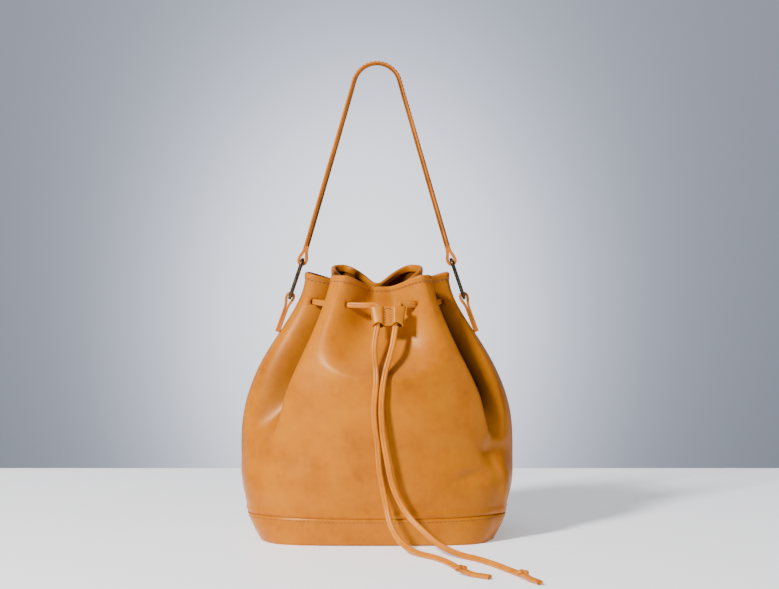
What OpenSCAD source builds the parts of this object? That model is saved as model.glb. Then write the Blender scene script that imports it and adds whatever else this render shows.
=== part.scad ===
// Bucket bag: pleated leather body with a drawstring mouth, ring-hung handle and sliding cord keeper.
// Millimetres. The origin is the middle of the base on the resting plane, +Z up, the front faces -Y.

/* [Body] */
// Width of the base, side to side
base_w = 230; // [215:1:250]
// Depth of the base, front to back
base_d = 166; // [150:1:176]
// Width of the body where it is widest
body_w = 281; // [262:1:300]
// Depth of the body where it is deepest
body_d = 182; // [172:1:200]
// Width of the gathered mouth across its two side folds
mouth_w = 148; // [140:1:160]
// Depth of the gathered mouth across its front and rear folds
mouth_d = 154; // [146:1:166]
// Height of the mouth's rim at the folds
rim_h = 273; // [250:1:290]
// Height of the widest place
belly_h = 72; // [60:1:90]
// Thickness of the body leather
leather = 2; // [1.6:0.1:2.4]
// Depth of the turned hem along the rim
hem_h = 7; // [5:0.5:10]

/* [Pleats] */
// Distance from the middle to the bottom of a pleat at the rim
valley_r = 36; // [33:1:42]
// How far the rim dips in a pleat
rim_dip = 14; // [8:1:18]
// Sideways offset of the front pleat, in degrees round the body
front_turn = 4; // [0:0.5:5]

/* [Base] */
// Height of the band round the foot of the body
band_h = 28; // [22:1:32]
// Thickness of the band's leather
band_t = 1.8; // [1.4:0.1:2.2]
// Thickness of the leather underneath
sole_t = 2.2; // [1.8:0.1:3]
// Thickness of the stiffening board inside
board_t = 2; // [1.5:0.1:3]
// Thickness of the piped edge round the base
welt_d = 2.8; // [2:0.1:3.4]

/* [Tabs and rings] */
// Width of each side tab, front to back
tab_w = 16; // [14:0.5:17]
// Thickness of one layer of a tab or handle loop
tab_t = 1.9; // [1.5:0.1:2.2]
// Distance from the middle to a ring's lower bar
ring_x = 90; // [89:0.5:96]
// Height of a ring's lower bar
ring_z = 246.5; // [244:0.5:252]
// Distance between a ring's lower and upper bars
ring_l = 40.5; // [36:0.5:48]
// Clear width inside a ring
ring_w = 20; // [19:0.5:24]
// Thickness of the ring wire
wire_d = 3.8; // [3:0.1:4.4]
// Inward lean of each ring
ring_lean = 18.7; // [14:0.1:22]
// Play between a ring and the loops that hold it
ring_play = 0.45; // [0.4:0.05:0.6]

/* [Handle] */
// Width of the handle strap
strap_w = 18; // [14:0.5:18.5]
// Thickness of the handle strap, both layers
strap_t = 4.2; // [3.4:0.1:5]
// Height of the top of the handle
handle_top = 490; // [440:1:540]
// Bend radius at the top of the handle
handle_r = 24; // [18:1:32]

/* [Drawstring] */
// Thickness of the drawstring lace
lace_d = 5; // [4:0.1:5]
// Play between the lace and its holes
lace_play = 0.5; // [0.4:0.05:0.7]
// Height of the drawstring round the mouth
lace_z = 243; // [238:1:246]
// Radius of the drawstring's round
lace_r = 67; // [65:0.5:70]
// Diameter of the knots in the lace ends
knot_d = 12; // [10:0.5:14]

/* [Keeper] */
// Width of each channel in the sliding cord keeper
channel_w = 9; // [8.5:0.1:9.5]
// Length of the keeper along the laces
keeper_l = 20; // [18:0.5:24]
// Thickness of the keeper's leather
keeper_t = 1.8; // [1.4:0.1:2.2]

/* [Hidden] */
$fn = 48;

tan_leather = "#cf8f42";
flesh_side = "#8a5a2b";
board_grey = "#6f675c";
old_brass = "#5b5142";

turn_step = 5;
gap = 0.1;
hug = 0.3;
lace_r0 = lace_d / 2;
wire_r = wire_d / 2;
loop_in = wire_r + ring_play;
loop_out = loop_in + tab_t;
pleat_foot = 138;
pleat_skew = 27;
square_base = 5;
square_seam = 3;
square_top = 2.05;
fold_tight = 2;
fold_open = 0.8;
seam_share = 0.66;
neck_round = 1.55;
swing_r = 15;
tab_foot = [103, 211];
tab_head = [ring_x + 2.5, ring_z - swing_r];
tab_way = unit(tab_head - tab_foot);
loop_foot = [ring_x + 2.2, ring_z - sqrt(swing_r * swing_r - tab_w * tab_w / 4) + hug];
ring_bend = 4;
base_z = welt_d + 2 * gap;
keeper_x = 11.4;
keeper_half = 9.3;
keeper_down = 12;
keeper_notch = 9;
keeper_tilt = 21;
run_down = [-0.15, -0.36, -0.92];

// Heights at which a panel's skin is drawn, from the foot to the rim
panel_rows = concat([base_z, 8, 14, 21, band_h, 40, 54, belly_h, 92, 112, 128, 142, 156, 170],
    [184, 198, 212, 226, 238, 250, rim_h - hem_h - 6]);

function clamp01(t) = min(max(t, 0), 1);
function ease(t) = clamp01(t) * clamp01(t) * (3 - 2 * clamp01(t));
function between(a, b, t) = a + (b - a) * t;
function unit(v) = v / norm(v);

// Half of a width at height h: a slanted foot, a round belly, then a soft S to the mouth
function foot_share(h) = h < band_h ? seam_share * h / band_h
    : between(seam_share, 1, sin(90 * (h - band_h) / (belly_h - band_h)));
function neck_share(h) = (1 - cos(180 * pow(clamp01((h - belly_h) / (rim_h - belly_h)), neck_round))) / 2;
function half_at(h, low, mid, top) = h < belly_h ? between(low, mid, foot_share(h)) / 2
    : between(mid, top, neck_share(h)) / 2;

// Share of the front in a direction, 1 straight ahead and 0 behind
function front_share(a) = pow((1 - sin(a)) / 2, 4);
function pleat_angle(a) = a - front_turn * front_share(a);
function fold_power(a) = between(fold_tight, fold_open, pow(max(-sin(pleat_angle(a)), 0), 12));
// Depth of the pleats round the body, 0 on a fold and 1 in a valley
function valley_at(a) = pow((1 - cos(6 * pleat_angle(a))) / 2, fold_power(a));
function pleat_start(a) = pleat_foot - pleat_skew * cos(2 * a);
function pleat_rise(a, h) = pow(clamp01((h - pleat_start(a)) / (rim_h - pleat_start(a))), 1.1);

// How square the outline is at height h: a superellipse's exponent
function squareness(h) = h < band_h ? between(square_base, square_seam, h / band_h)
    : between(square_seam, square_top, ease((h - band_h) / belly_h));

// Distance from the middle to the body's outer skin, in direction a at fold height h
function skin_r(a, h) = let (
    w = half_at(h, base_w, body_w, mouth_w),
    d = half_at(h, base_d, body_d, mouth_d),
    n = squareness(h),
    r = pow(pow(abs(cos(a)) / w, n) + pow(abs(sin(a)) / d, n), -1 / n),
    deep = (1 - 2 * valley_r / mouth_d) * valley_at(a) * pleat_rise(a, h)
) r * (1 - deep);
function skin_z(a, h) = h - rim_dip * valley_at(a) * pow(pleat_rise(a, h), 2);
function skin(a, h) = [skin_r(a, h) * cos(a), skin_r(a, h) * sin(a), skin_z(a, h)];
function skin_normal(a, h) = unit(cross(skin(a + 0.5, h) - skin(a - 0.5, h),
    skin(a, h + 0.5) - skin(a, max(h - 0.5, 0))));
function skin_off(a, h, out) = skin(a, h) + out * skin_normal(a, h);
function skin_out(a, h, out) = skin(a, h) + out * [cos(a), sin(a), 0];

// Fold height whose skin in direction a comes to height z
function rise_to(a, z, lo, hi, n) = n == 0 ? (lo + hi) / 2
    : skin_z(a, (lo + hi) / 2) < z ? rise_to(a, z, (lo + hi) / 2, hi, n - 1)
    : rise_to(a, z, lo, (lo + hi) / 2, n - 1);
function skin_r_at_z(a, z) = skin_r(a, rise_to(a, z, lace_z - 20, rim_h, 12));
// Direction between a and b in which the skin is as far out as the drawstring
function crossing(a, b, n) = n == 0 ? (a + b) / 2
    : skin_r_at_z((a + b) / 2, lace_z) > lace_r ? crossing(a, (a + b) / 2, n - 1)
    : crossing((a + b) / 2, b, n - 1);
valleys = [30, 90, 150, 210, 270 + front_turn, 330];
holes = [for (v = valleys) each [crossing(v, v - 29, 12), crossing(v, v + 29, 12)]];

// Two triangles between two rows of a grid, split along one diagonal or the other
function cell(low, high, j, next, other = false) = other
    ? [[low + j, high + j, low + next], [high + j, high + next, low + next]]
    : [[low + j, high + j, high + next], [low + j, high + next, low + next]];
// Triangles across the end row of a tube, whose points run up one side and back down the other
function end_faces(n) = [for (i = [0 : floor((n - 3) / 2)]) each concat(
    [[i, i + 1, n - 1 - i]], i + 1 < n - 2 - i ? [[i + 1, n - 2 - i, n - 1 - i]] : [])];
// Faces that close a grid of rows, each with n points, into a tube with two flat ends
function tube_faces(rows, n) = concat(
    [for (i = [0 : rows - 2], j = [0 : n - 1]) each cell(i * n, (i + 1) * n, j, (j + 1) % n)],
    end_faces(n),
    [for (f = end_faces(n)) [for (j = [2 : -1 : 0]) (rows - 1) * n + f[j]]]);
// The same for a ring that closes on itself, with the other diagonal from point turned on
function ring_faces(rows, n, turned) = [for (i = [0 : rows - 1], j = [0 : n - 1])
    each cell(i * n, ((i + 1) % rows) * n, j, (j + 1) % n, j >= turned)];

// Directions along a route, and a side direction carried along it without twist
function heading(p, i) = unit(p[min(i + 1, len(p) - 1)] - p[max(i - 1, 0)]);
function sides_along(p) = [for (i = 0, s = unit(cross(heading(p, 0), [0.3, 0.9, 0.2])); i < len(p);
    i = i + 1, s = i < len(p) ? unit(s - (s * heading(p, i)) * heading(p, i)) : s) s];
module cord(p, r, n) {
    s = sides_along(p);
    rings = [for (i = [0 : len(p) - 1], j = [0 : n - 1]) p[i]
        + r * (cos(360 * j / n) * s[i] + sin(360 * j / n) * cross(heading(p, i), s[i]))];
    polyhedron(points = rings, faces = tube_faces(len(p), n), convexity = 10);
}

// One half of the body's skin between two directions, with its hem turned inside
function wall_line(a, rows, t) = concat(
    [for (h = rows) skin(a, h)],
    [skin(a, rim_h - hem_h), skin(a, rim_h)],
    [skin_off(a, rim_h, -2 * t), skin_off(a, rim_h - hem_h, -2 * t), skin_off(a, rim_h - hem_h, -t)],
    [for (i = [len(rows) - 1 : -1 : 0]) skin_off(a, rows[i], -t)]);
module panel(from) {
    turns = [for (a = [from : turn_step : from + 180]) a];
    lines = [for (a = turns) wall_line(a, panel_rows, leather)];
    n = len(lines[0]);
    difference() {
        polyhedron(points = [for (l = lines) each l], faces = tube_faces(len(turns), n), convexity = 10);
        for (a = holes)
            if (a > from && a < from + 180)
                punch(a);
    }
}
// A punched hole for the lace, along the drawstring's round
module punch(a) {
    translate([lace_r * cos(a), lace_r * sin(a), lace_z])
        rotate([90, 0, a])
            cylinder(r = lace_r0 + lace_play, h = 16, center = true);
}

// Outline of the base, set in from its edge
function base_line(inset) = [for (a = [0 : turn_step : 355])
    let (w = base_w / 2 - inset, d = base_d / 2 - inset, n = square_base)
    pow(pow(abs(cos(a)) / w, n) + pow(abs(sin(a)) / d, n), -1 / n) * [cos(a), sin(a)]];

module front_panel() {
    color(tan_leather) panel(180);
}

module back_panel() {
    color(tan_leather) panel(0);
}

module base_band() {
    rows = [for (h = panel_rows) if (h <= band_h) h];
    lines = [for (a = [0 : turn_step : 355]) concat(
        [for (h = rows) skin_out(a, h, hug + band_t)],
        [for (i = [len(rows) - 1 : -1 : 0]) skin_out(a, rows[i], hug)])];
    color(tan_leather)
        polyhedron(points = [for (l = lines) each l],
            faces = ring_faces(len(lines), len(lines[0]), len(rows)), convexity = 10);
}

module base_sole() {
    color(tan_leather) linear_extrude(sole_t) polygon(base_line(-band_t - gap));
}

module base_board() {
    color(board_grey)
        translate([0, 0, sole_t + gap])
            linear_extrude(board_t) polygon(base_line(2 * leather));
}

module base_welt() {
    line = base_line(-band_t - gap - hug - welt_d / 2);
    n = 8;
    count = len(line);
    rings = [for (i = [0 : count - 1], j = [0 : n - 1])
        let (out = unit(line[(i + 1) % count] - line[(i + count - 1) % count]))
        [line[i][0] + welt_d / 2 * cos(360 * j / n) * out[1],
         line[i][1] - welt_d / 2 * cos(360 * j / n) * out[0],
         welt_d / 2 + gap + welt_d / 2 * sin(360 * j / n)]];
    color(tan_leather)
        polyhedron(points = rings, faces = ring_faces(count, n, n), convexity = 10);
}

// Places something on one side's ring frame: the origin on the lower bar, +Z towards the upper bar
module on_side(side) {
    translate([side * ring_x, 0, ring_z]) children();
}
module on_ring(side) {
    on_side(side) rotate([0, -side * ring_lean, 0]) children();
}

// A tab layer between two places of its side view
module tab_layer(side, low, high, out, t) {
    run = high - low;
    lean = atan2(run[0], run[1]);
    translate([side * low[0], 0, low[1]])
        rotate([0, side * lean, 0])
            translate([side * (out + t / 2) - t / 2, -tab_w / 2, 0])
                cube([t, tab_w, norm(run)]);
}
// The cylinder about the swing axis that parts the sewn tab from its loop
module swing_round(r) {
    translate([0, 0, ring_z]) rotate([0, 90, 0]) cylinder(r = r, h = 2 * body_w, center = true);
}

module side_tab(side) {
    color(tan_leather)
        difference() {
            union() {
                tab_layer(side, tab_foot, tab_head, -tab_t, tab_t);
                tab_layer(side, tab_foot, tab_head, 0, tab_t);
            }
            swing_round(swing_r + hug);
        }
}

module tab_patch(side) {
    rows = [for (h = panel_rows) if (h > tab_foot[1] - swing_r && h < ring_z - loop_out) h];
    mid = side > 0 ? 0 : 180;
    lines = [for (a = [mid - 2 * turn_step : turn_step : mid + 2 * turn_step]) concat(
        [for (h = rows) skin_off(a, h, -leather - 2 * gap)],
        [for (i = [len(rows) - 1 : -1 : 0]) skin_off(a, rows[i], -leather - 2 * gap - tab_t)])];
    color(flesh_side)
        polyhedron(points = [for (l = lines) each l], faces = tube_faces(len(lines), len(lines[0])),
            convexity = 4);
}

module tab_loop(side) {
    color(tan_leather)
        difference() {
            hull() {
                on_side(side) rotate([90, 0, 0])
                    cylinder(r = loop_out, h = tab_w, center = true, $fn = 32);
                tab_layer(side, loop_foot, loop_foot + tab_way, 0, tab_t);
                tab_layer(side, loop_foot, loop_foot + tab_way, -tab_t, tab_t);
            }
            on_side(side) rotate([90, 0, 0]) cylinder(r = loop_in, h = 2 * tab_w, center = true);
        }
}

module ring(side) {
    half = ring_w / 2 + wire_r;
    color(old_brass)
        on_ring(side) {
            for (z = [0, ring_l])
                translate([0, 0, z]) rotate([90, 0, 0])
                    cylinder(r = wire_r, h = 2 * (half - ring_bend), center = true);
            for (y = [-half, half])
                translate([0, y, ring_bend]) cylinder(r = wire_r, h = ring_l - 2 * ring_bend);
            for (quarter = [0 : 3])
                translate([0, (quarter == 0 || quarter == 3 ? 1 : -1) * (half - ring_bend),
                    quarter < 2 ? ring_l - ring_bend : ring_bend])
                    rotate([90 * quarter, 0, 0]) rotate([0, 90, 0]) rotate([0, 0, 90])
                        rotate_extrude(angle = 90) translate([ring_bend, 0]) circle(r = wire_r);
        }
}

// Handle: two straight legs that run from the upper bars onto a round bend
bar_top = [ring_x - ring_l * sin(ring_lean), ring_z + ring_l * cos(ring_lean)];
bend_z = handle_top - strap_t / 2 - handle_r;
bar_reach = norm([bar_top[0], bend_z - bar_top[1]]);
leg_lean = atan2(bar_top[0], bend_z - bar_top[1]) - asin(handle_r / bar_reach);
loop_l = 14;
bend_step = (180 - 2 * leg_lean) / 24;

module on_leg(side) {
    translate([side * bar_top[0], 0, bar_top[1]]) rotate([0, -side * leg_lean, 0]) children();
}
// Places along the handle at a distance out from the middle of its thickness, left leg to right
function handle_line(out) = concat(
    [handle_foot(-1, out)],
    [for (a = [180 - leg_lean : -bend_step : leg_lean]) [0, bend_z] + (handle_r + out) * [cos(a), sin(a)]],
    [handle_foot(1, out)]);
function handle_foot(side, out) = [side * (bar_top[0] - loop_l * sin(leg_lean) + out * cos(leg_lean)),
    bar_top[1] + loop_l * cos(leg_lean) + out * sin(leg_lean)];
module strap_layer(low, high) {
    inner = handle_line(low);
    outer = handle_line(high);
    rotate([90, 0, 0])
        linear_extrude(strap_w, center = true)
            polygon(concat(outer, [for (i = [len(inner) - 1 : -1 : 0]) inner[i]]));
}

module strap_outer() {
    color(tan_leather) strap_layer(0, strap_t / 2);
}

module strap_lining() {
    color(flesh_side) strap_layer(-strap_t / 2, 0);
}

module strap_loop(side) {
    color(tan_leather)
        on_leg(side)
            difference() {
                hull() {
                    rotate([90, 0, 0]) cylinder(r = loop_out, h = strap_w, center = true, $fn = 32);
                    translate([-strap_t / 2, -strap_w / 2, loop_l - 1]) cube([strap_t, strap_w, 1]);
                }
                rotate([90, 0, 0]) cylinder(r = loop_in, h = 2 * strap_w, center = true);
            }
}

// Drawstring: up the left channel, round the mouth through the holes, and down the right channel
lace_top = [keeper_x - keeper_down * run_down[0], -lace_r - hug, lace_z];
function run_point(x, s) = lace_top + [x, 0, 0] + s * run_down;
left_bend = [run_point(-keeper_half, 22), run_point(-keeper_half, 14), run_point(-keeper_half, 6),
    lace_top + [-11.6, -0.6, -2.2], lace_top + [-15.3, 0.6, -0.1]];
right_bend = [lace_top + [10.6, 2.1, -0.8], lace_top + [9.1, -0.5, -2.8], run_point(keeper_half, 6),
    run_point(keeper_half, 14), run_point(keeper_half, 22)];
mouth_round = [for (a = [262 : -8.3 : -70]) [lace_r * cos(a), lace_r * sin(a), lace_z]];
module drawstring_loop() {
    color(tan_leather) cord(concat(left_bend, mouth_round, right_bend), lace_r0, 8);
}

// Free ends: down the front, over the belly and forward along the table
left_end = [run_point(-keeper_half, 22), run_point(-keeper_half, 32), run_point(-keeper_half, 42),
    [-4.5, -88, 182], [-4.5, -94, 168], [-5.5, -96, 150], [-6, -97, 134], [-4, -98, 119], [-1, -98.5, 104],
    [2, -99, 88], [4, -100, 72], [7, -102, 57], [10, -106, 42], [13, -113, 29], [19, -123, 17],
    [29, -137, 8], [42, -152, 3.5], [56, -171, 2.5], [66, -192, 2.5], [74, -216, 2.5], [79, -238, 3.5],
    [81, -252, 5.5]];
right_end = [run_point(keeper_half, 22), run_point(keeper_half, 32), run_point(keeper_half, 42),
    [10, -88, 182], [7, -94, 168], [5, -97, 150], [5, -99.5, 134], [6, -101.5, 119], [8, -102.5, 104],
    [11, -103.5, 88], [14, -104.5, 72], [19, -107, 57], [27, -112, 42], [37, -120, 30], [49, -131, 20],
    [62, -144, 11], [78, -158, 5], [94, -175, 2.5], [106, -196, 2.5], [118, -222, 2.5], [129, -250, 2.5],
    [135, -266, 3.5], [138, -278, 5.5]];

module cord_left() {
    color(tan_leather) cord(left_end, lace_r0, 8);
}

module cord_right() {
    color(tan_leather) cord(right_end, lace_r0, 8);
}

// A knot's place, just past the end of its lace
function knot_at(route) = let (p = route[len(route) - 1], q = route[len(route) - 2],
    way = unit([p[0] - q[0], p[1] - q[1]]))
    [p[0] + way[0] * knot_d * 0.4, p[1] + way[1] * knot_d * 0.4, knot_d / 2 + gap];

module knot(route) {
    color(tan_leather) translate(knot_at(route)) sphere(r = knot_d / 2);
}

// The short end of the lace past its knot
left_tail = [[84, -261, 5], [91, -268, 3], [100, -276, 2.6], [108, -283, 2.6]];
right_tail = [[141, -288, 5], [146, -297, 3], [151, -306, 2.6], [154, -314, 2.6]];
module tail_left() {
    color(tan_leather) cord(left_tail, lace_r0, 8);
}

module tail_right() {
    color(tan_leather) cord(right_tail, lace_r0, 8);
}

// Two flat channels with a sewn web between them, open at the top's outer corners
module channel_line(r) {
    reach = channel_w / 2 - lace_r0 - lace_play / 2;
    for (x = [-reach, reach])
        translate([x, 0]) circle(r = r);
    square([2 * reach, 2 * r], center = true);
}
module cord_keeper() {
    bore = lace_r0 + lace_play;
    color(tan_leather)
        translate(run_point(0, keeper_down) - [0, hug, 0]) rotate([-keeper_tilt, 0, 0])
            difference() {
                translate([0, 0, -keeper_l / 2]) linear_extrude(keeper_l) {
                    for (side = [-1, 1])
                        translate([side * keeper_half, 0]) channel_line(bore + keeper_t);
                    square([2 * keeper_half, 2 * keeper_t], center = true);
                }
                translate([0, 0, -keeper_l]) linear_extrude(2 * keeper_l)
                    for (side = [-1, 1])
                        translate([side * keeper_half, 0]) channel_line(bore);
                for (side = [-1, 1])
                    translate([side * (keeper_half + channel_w), keeper_t, keeper_l / 2])
                        cube([2 * channel_w, 2 * (bore + keeper_t), 2 * keeper_notch], center = true);
            }
}

front_panel();
back_panel();
base_band();
base_sole();
base_board();
base_welt();
side_tab(-1);  // side_tab_left
side_tab(1);  // side_tab_right
tab_patch(-1);  // tab_patch_left
tab_patch(1);  // tab_patch_right
tab_loop(-1);  // tab_loop_left
tab_loop(1);  // tab_loop_right
ring(-1);  // ring_left
ring(1);  // ring_right
strap_outer();
strap_lining();
strap_loop(-1);  // strap_loop_left
strap_loop(1);  // strap_loop_right
drawstring_loop();
cord_left();
cord_right();
knot(left_end);  // knot_left
knot(right_end);  // knot_right
tail_left();
tail_right();
cord_keeper();
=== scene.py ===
import math
import bpy
import numpy as np
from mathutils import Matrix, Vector


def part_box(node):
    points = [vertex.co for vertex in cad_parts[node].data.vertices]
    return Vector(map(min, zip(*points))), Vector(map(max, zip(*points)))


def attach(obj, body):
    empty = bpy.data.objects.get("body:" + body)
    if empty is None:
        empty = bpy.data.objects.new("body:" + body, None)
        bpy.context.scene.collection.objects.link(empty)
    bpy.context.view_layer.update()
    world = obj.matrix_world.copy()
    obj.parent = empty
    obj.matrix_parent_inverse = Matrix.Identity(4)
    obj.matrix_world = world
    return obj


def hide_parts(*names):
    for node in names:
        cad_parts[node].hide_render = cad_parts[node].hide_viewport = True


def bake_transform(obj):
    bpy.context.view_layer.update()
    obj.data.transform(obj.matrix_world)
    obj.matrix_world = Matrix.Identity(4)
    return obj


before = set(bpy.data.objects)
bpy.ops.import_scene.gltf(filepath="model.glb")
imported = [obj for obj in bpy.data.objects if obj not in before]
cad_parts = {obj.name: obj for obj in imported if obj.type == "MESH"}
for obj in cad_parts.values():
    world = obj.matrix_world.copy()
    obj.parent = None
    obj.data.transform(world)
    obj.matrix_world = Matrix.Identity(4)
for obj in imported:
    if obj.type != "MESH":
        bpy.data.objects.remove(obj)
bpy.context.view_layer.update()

mm = 0.001


def linear(hexColour):
    # sRGB hex to linear light, as the shaders want it
    parts = [int(hexColour[i:i + 2], 16) / 255 for i in (1, 3, 5)]
    return [c / 12.92 if c <= 0.04045 else ((c + 0.055) / 1.055) ** 2.4 for c in parts] + [1.0]


def ease(t):
    # 3t^2 - 2t^3 between 0 and 1
    t = np.clip(t, 0, 1)
    return t * t * (3 - 2 * t)


def softStart(t, width):
    # follows 0 and then t, with a round corner of that width
    return 0.5 * (t + np.sqrt(t * t + width * width))


def bump(x, middle, width):
    # exp of minus the square of the distance over the width
    return np.exp(-((x - middle) / width) ** 2)


# camera and stage

view = {"distance": 3.0, "height": 0.475, "side": 0.013, "pitchDeg": 4.306, "lensMm": 134.2}
cameraData = bpy.data.cameras.new("camera")
cameraData.lens = view["lensMm"]
cameraData.sensor_width = 36
camera = bpy.data.objects.new("camera", cameraData)
camera.location = (view["side"], -view["distance"], view["height"])
camera.rotation_euler = (math.radians(90 - view["pitchDeg"]), 0, 0)
bpy.context.collection.objects.link(camera)
bpy.context.scene.camera = camera


# mesh building

def gridFaces(rows, cols, wrapRows=False, wrapCols=False):
    # quads between neighbouring points of a rows by cols grid
    i = np.arange(rows if wrapRows else rows - 1)[:, None]
    j = np.arange(cols if wrapCols else cols - 1)[None, :]
    a = i * cols + j
    b = ((i + 1) % rows) * cols + j
    c = ((i + 1) % rows) * cols + (j + 1) % cols
    d = i * cols + (j + 1) % cols
    return np.stack([a, b, c, d], -1).reshape(-1, 4)


def makePiece(name, points, faces, material, body, stands=(), caps=()):
    # points in mm; caps are extra faces with any number of corners
    mesh = bpy.data.meshes.new(name)
    corners = (np.asarray(points).reshape(-1, 3) * mm).tolist()
    mesh.from_pydata(corners, [], faces.tolist() + [list(c) for c in caps])
    mesh.polygons.foreach_set("use_smooth", np.ones(len(mesh.polygons), bool))
    mesh.update()
    piece = bpy.data.objects.new(name, mesh)
    bpy.context.collection.objects.link(piece)
    mesh.materials.append(material)
    if body:
        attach(piece, body)
    if stands:
        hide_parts(*stands)
    return piece


def addValues(piece, name, values):
    # a number for each point, which the material can read
    attribute = piece.data.attributes.new(name, "FLOAT", "POINT")
    attribute.data.foreach_set("value", np.asarray(values, np.float32).ravel())


def paint(node, material):
    # gives a CAD piece its finish
    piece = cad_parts[node]
    piece.data.materials.clear()
    piece.data.materials.append(material)


def unitRows(v):
    return v / np.maximum(np.linalg.norm(v, axis=-1, keepdims=True), 1e-9)


def smoothPath(points, count):
    # natural cubic spline through the points, by chord length, at even distances
    p = np.asarray(points, float)
    t = np.concatenate([[0], np.cumsum(np.linalg.norm(np.diff(p, axis=0), axis=1))])
    n = len(p)
    h = np.diff(t)
    m = np.eye(n)
    r = np.zeros((n, 3))
    k = np.arange(1, n - 1)
    m[k, k - 1] = h[k - 1]
    m[k, k] = 2 * (h[k - 1] + h[k])
    m[k, k + 1] = h[k]
    r[k] = 6 * ((p[k + 1] - p[k]) / h[k][:, None] - (p[k] - p[k - 1]) / h[k - 1][:, None])
    c = np.linalg.solve(m, r)

    def at(s):
        i = np.clip(np.searchsorted(t, s) - 1, 0, n - 2)
        a, b, w = (t[i + 1] - s)[:, None], (s - t[i])[:, None], h[i][:, None]
        return (c[i] * a ** 3 + c[i + 1] * b ** 3) / (6 * w) + (p[i] / w - c[i] * w / 6) * a \
            + (p[i + 1] / w - c[i + 1] * w / 6) * b
    fine = at(np.linspace(0, t[-1], 4000))
    run = np.concatenate([[0], np.cumsum(np.linalg.norm(np.diff(fine, axis=0), axis=1))])
    want = np.linspace(0, run[-1], count)
    return np.stack([np.interp(want, run, fine[:, q]) for q in range(3)], -1)


def pathLength(path):
    return float(np.linalg.norm(np.diff(path, axis=0), axis=1).sum())


def sweep(path, sideHint, profile, roll=None):
    # a closed profile (side, up) carried along a path; the side direction stays as near to sideHint as it can
    way = unitRows(np.gradient(path, axis=0))
    hint = np.broadcast_to(np.asarray(sideHint, float), path.shape)
    side = unitRows(hint - (hint * way).sum(1, keepdims=True) * way)
    up = np.cross(side, way)
    if roll is not None:
        c, s = np.cos(roll)[:, None], np.sin(roll)[:, None]
        side, up = side * c + up * s, up * c - side * s
    prof = np.asarray(profile, float)
    if prof.ndim == 2:
        prof = np.broadcast_to(prof, (len(path),) + prof.shape)
    return path[:, None, :] + prof[..., 0:1] * side[:, None, :] + prof[..., 1:2] * up[:, None, :]


def carriedSides(path, first):
    # side directions carried along a path without twist
    way = unitRows(np.gradient(path, axis=0))
    side = np.zeros_like(path)
    s = np.asarray(first, float)
    for i in range(len(path)):
        s = s - (s @ way[i]) * way[i]
        s = s / np.linalg.norm(s)
        side[i] = s
    return side


def sweptPiece(name, rings, material, body, stands=()):
    # rings by profile points, closed round the profile and capped at both ends
    rows, cols = rings.shape[:2]
    caps = [range(cols), range(rows * cols - 1, (rows - 1) * cols - 1, -1)]
    return makePiece(name, rings, gridFaces(rows, cols, wrapCols=True)[:, ::-1], material, body, stands, caps)


def roundedBar(width, height, radius, steps=5):
    # rectangle with round corners, anticlockwise
    a = np.linspace(0, math.pi / 2, steps)
    corners = []
    for k, (sx, sy) in enumerate([(1, 1), (-1, 1), (-1, -1), (1, -1)]):
        mid = np.array([sx * (width / 2 - radius), sy * (height / 2 - radius)])
        ang = a + k * math.pi / 2
        corners.append(mid + radius * np.stack([np.cos(ang), np.sin(ang)], -1))
    return np.concatenate(corners)


# materials

def addNode(tree, kind, settings=(), links=()):
    # settings are (socket or property, value), links are (socket, output)
    node = tree.nodes.new(kind)
    for name, value in settings:
        if isinstance(name, int) or name in node.inputs:
            node.inputs[name].default_value = value
        else:
            setattr(node, name, value)
    for name, output in links:
        tree.links.new(output, node.inputs[name])
    return node


def newMaterial(name, settings):
    material = bpy.data.materials.new(name)
    material.use_nodes = True
    tree = material.node_tree
    shader = tree.nodes["Principled BSDF"]
    for key, value in settings:
        shader.inputs[key].default_value = value
    return material, tree, shader


leather = {
    "grain": "#ab6000", "light": "#b46b02", "dark": "#9a5300", "flesh": "#5e3006",
    "mottleMm": 34, "fineMottleMm": 7, "grainMm": 0.9, "poreMm": 2.4,
    "roughness": 0.38,
}


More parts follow.
